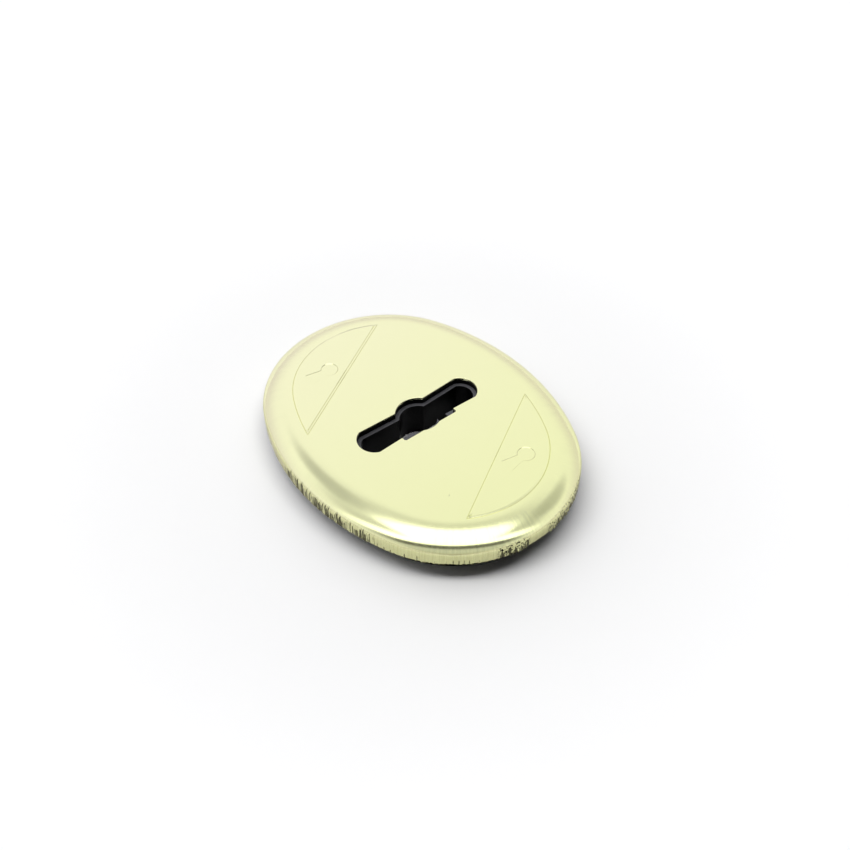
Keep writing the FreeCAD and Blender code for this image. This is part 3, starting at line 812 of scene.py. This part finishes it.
def lay_floor():
    """Plain pale floor, with painted shade making it a little greyer close to the object."""
    let_go()
    bpy.ops.mesh.primitive_plane_add(size=4.0)
    floor = named("floor")
    material, tree, bsdf = new_material("white_floor")
    place = add(tree, "ShaderNodeTexCoord").outputs["Object"]
    pin, haze = specks(tree, place, 420.0, 0.80)
    away = total_of(tree, vector_value(tree, "LENGTH", place), product(tree, haze, 6 * MM))
    # painted shade: the floor greyer near the object
    colour = tint(tree, spread(tree, away, 48 * MM, 105 * MM), FLOOR_NEAR_PAINTED_SHADE, FLOOR_FAR)
    colour = tint(tree, product(tree, pin, 0.10), colour, FLOOR_SPECK)
    join(tree, colour, bsdf.inputs["Base Color"])
    bsdf.inputs["Roughness"].default_value = 0.9
    bsdf.inputs["Specular IOR Level"].default_value = 0.1
    floor.data.materials.append(material)


CAMERA_AZIMUTH = math.radians(51.325)
CAMERA_ELEVATION = math.radians(45.791)
CAMERA_ROLL = math.radians(-0.328)
FOCAL_PIXELS = 1155.7
AIM_PIXEL = (418.15, 413.90)
AIM_DEPTH = 237.317 * MM
PHOTO_WIDTH = 850.0


SIDE_OF_CAMERA = Vector((math.sin(CAMERA_AZIMUTH), -math.cos(CAMERA_AZIMUTH), 0))
RIGHT_OF_CAMERA = Vector((math.cos(CAMERA_AZIMUTH), math.sin(CAMERA_AZIMUTH), 0))

# What the metal mirrors. Angles in degrees from overhead: fore towards the camera, side to its right.
BOX_FORE = 9.0
BOX_REACH = (20.0, 26.0)
BOX_LEVELS = ((0.82, 2.1), (1.45, 0.70), (2.3, 0.64), (4.8, 0.94), (6.4, 1.0))  # by squared distance in reaches
GAP_LEVELS = ((29.4, 2.1), (32.8, 0.13), (37.8, 0.13), (42.8, 0.64))  # by fore angle
GAP_FORE = (14.0, 24.0)
GAP_SIDE = (34.0, 62.0)
DIM_PATCHES = (((-0.51, -0.21, 0.834), 17, 0.85), ((0.26, 0.67, 0.695), 18, 0.62))  # direction, radius, depth
DIM_CORE = 4
DIM_LEVEL = 0.35
LOW_SKY = (0.10, 0.55, 0.86)  # heights of the fade towards the floor, and the level at its foot

# What lights: a long box overhead and a tent behind and to the left.
LONG_BOX_FORE, LONG_BOX_SIDE = -5.0, -10.0
LONG_BOX_DEPTH = (5.0, 10.0)
LONG_BOX_WIDTH = (34.0, 46.0)
LONG_BOX_LEVEL = 5.8
TENT_TOWARDS = (RIGHT_OF_CAMERA * -0.45 - SIDE_OF_CAMERA * 0.9).normalized()
TENT_LEVEL = 1.36


def light_tent():
    """Soft studio light: an overhead box and a pale tent. What the metal mirrors is set apart from what lights."""
    world = bpy.data.worlds.new("light_tent")
    bpy.context.scene.world = world
    world.use_nodes = True
    tree = world.node_tree
    tree.nodes.clear()
    sky = add(tree, "ShaderNodeTexCoord").outputs["Generated"]

    def dot(direction):
        return vector_value(tree, "DOT_PRODUCT", sky, direction)

    def degrees_to(value):
        return product(tree, maths(tree, "ARCTAN2", value, up), math.degrees(1))

    def squared(value):
        return maths(tree, "POWER", value, 2.0)

    def distance(value, centre):
        return maths(tree, "ABSOLUTE", maths(tree, "SUBTRACT", value, centre))

    def blend(factor, first, second):
        """first where factor is 0, second where it is 1."""
        return total_of(tree, product(tree, factor, second),
                        product(tree, maths(tree, "SUBTRACT", 1.0, factor), first))

    def ramp(value, stops):
        """Smooth runs between (place, level) stops."""
        runs = [spread(tree, value, start, end, 0.0, high - low)
                for (start, low), (end, high) in zip(stops, stops[1:]) if high != low]
        return total_of(tree, *runs, stops[0][1])

    up = dot((0, 0, 1))
    fore, side = degrees_to(dot(SIDE_OF_CAMERA)), degrees_to(dot(RIGHT_OF_CAMERA))

    away = total_of(tree, squared(maths(tree, "DIVIDE", maths(tree, "SUBTRACT", fore, BOX_FORE), BOX_REACH[0])),
                    squared(maths(tree, "DIVIDE", side, BOX_REACH[1])))
    mirrored = ramp(away, BOX_LEVELS)
    for direction, radius, depth in DIM_PATCHES:
        patch = spread(tree, dot(Vector(direction).normalized()), math.cos(math.radians(radius)),
                       math.cos(math.radians(DIM_CORE)), 0.0, depth)
        mirrored = blend(patch, mirrored, DIM_LEVEL)
    gap = product(tree, spread(tree, fore, *GAP_FORE), spread(tree, distance(side, 0.0), *GAP_SIDE, 1.0, 0.0))
    mirrored = blend(gap, mirrored, ramp(fore, GAP_LEVELS))
    mirrored = product(tree, mirrored, spread(tree, up, *LOW_SKY, 1.0))

    long_box = product(tree, spread(tree, distance(fore, LONG_BOX_FORE), *LONG_BOX_DEPTH, 1.0, 0.0),
                       spread(tree, distance(side, LONG_BOX_SIDE), *LONG_BOX_WIDTH, 1.0, 0.0))
    tent = spread(tree, dot(TENT_TOWARDS), -0.08, 0.5, 0.03, 1.0)
    lit = total_of(tree, product(tree, long_box, LONG_BOX_LEVEL), product(tree, tent, TENT_LEVEL))

    def background(colour):
        node = add(tree, "ShaderNodeBackground")
        socket(tree, node.inputs["Color"], colour)
        return node.outputs[0]

    def choose(ray, no, yes):
        node = add(tree, "ShaderNodeMixShader")
        for target, source in zip(node.inputs, (path.outputs[ray], no, yes)):
            join(tree, source, target)
        return node.outputs[0]

    path = add(tree, "ShaderNodeLightPath")
    low_tint = tint(tree, spread(tree, up, 0.0, 0.6), LOW_SKY_TINT, WHITE)
    shown = tint(tree, 1.0, low_tint, triple(tree, mirrored, mirrored, mirrored), "MULTIPLY")
    light = choose("Is Glossy Ray", background(triple(tree, lit, lit, lit)), background(shown))
    out = add(tree, "ShaderNodeOutputWorld")
    join(tree, choose("Is Camera Ray", light, background(WHITE)), out.inputs["Surface"])


def place_camera():
    """Camera at the photo's angle, distance and lens."""
    back = Vector((math.sin(CAMERA_AZIMUTH) * math.cos(CAMERA_ELEVATION),
                   -math.cos(CAMERA_AZIMUTH) * math.cos(CAMERA_ELEVATION), math.sin(CAMERA_ELEVATION)))
    up = back.cross(RIGHT_OF_CAMERA)
    turned_right = RIGHT_OF_CAMERA * math.cos(CAMERA_ROLL) + up * math.sin(CAMERA_ROLL)
    turned_up = up * math.cos(CAMERA_ROLL) - RIGHT_OF_CAMERA * math.sin(CAMERA_ROLL)
    off_x = (AIM_PIXEL[0] - PHOTO_WIDTH / 2) / FOCAL_PIXELS * AIM_DEPTH
    off_y = (PHOTO_WIDTH / 2 - AIM_PIXEL[1]) / FOCAL_PIXELS * AIM_DEPTH
    place = Vector((0, 0, TOP)) + back * AIM_DEPTH - turned_right * off_x - turned_up * off_y
    data = bpy.data.cameras.new("camera")
    camera = bpy.data.objects.new("camera", data)
    bpy.context.scene.collection.objects.link(camera)
    data.sensor_width = 36.0
    data.lens = FOCAL_PIXELS / PHOTO_WIDTH * data.sensor_width
    data.clip_start = 0.005
    turn = Matrix((turned_right, turned_up, back)).transposed()
    camera.matrix_world = Matrix.Translation(place) @ turn.to_4x4()
    bpy.context.scene.camera = camera


bpy.context.scene.view_settings.view_transform = "Standard"

SPECKS = speck_group()
gold = satin_gold()
black = black_moulding()

cover = press_cover()
cover.data.materials.clear()
cover.data.materials.append(gold)
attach(cover, "root")
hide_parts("cover")

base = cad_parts["base"]
for index in range(len(base.material_slots)):
    base.material_slots[index].material = black
if not base.material_slots:
    base.data.materials.append(black)

lay_floor()
light_tent()
place_camera()
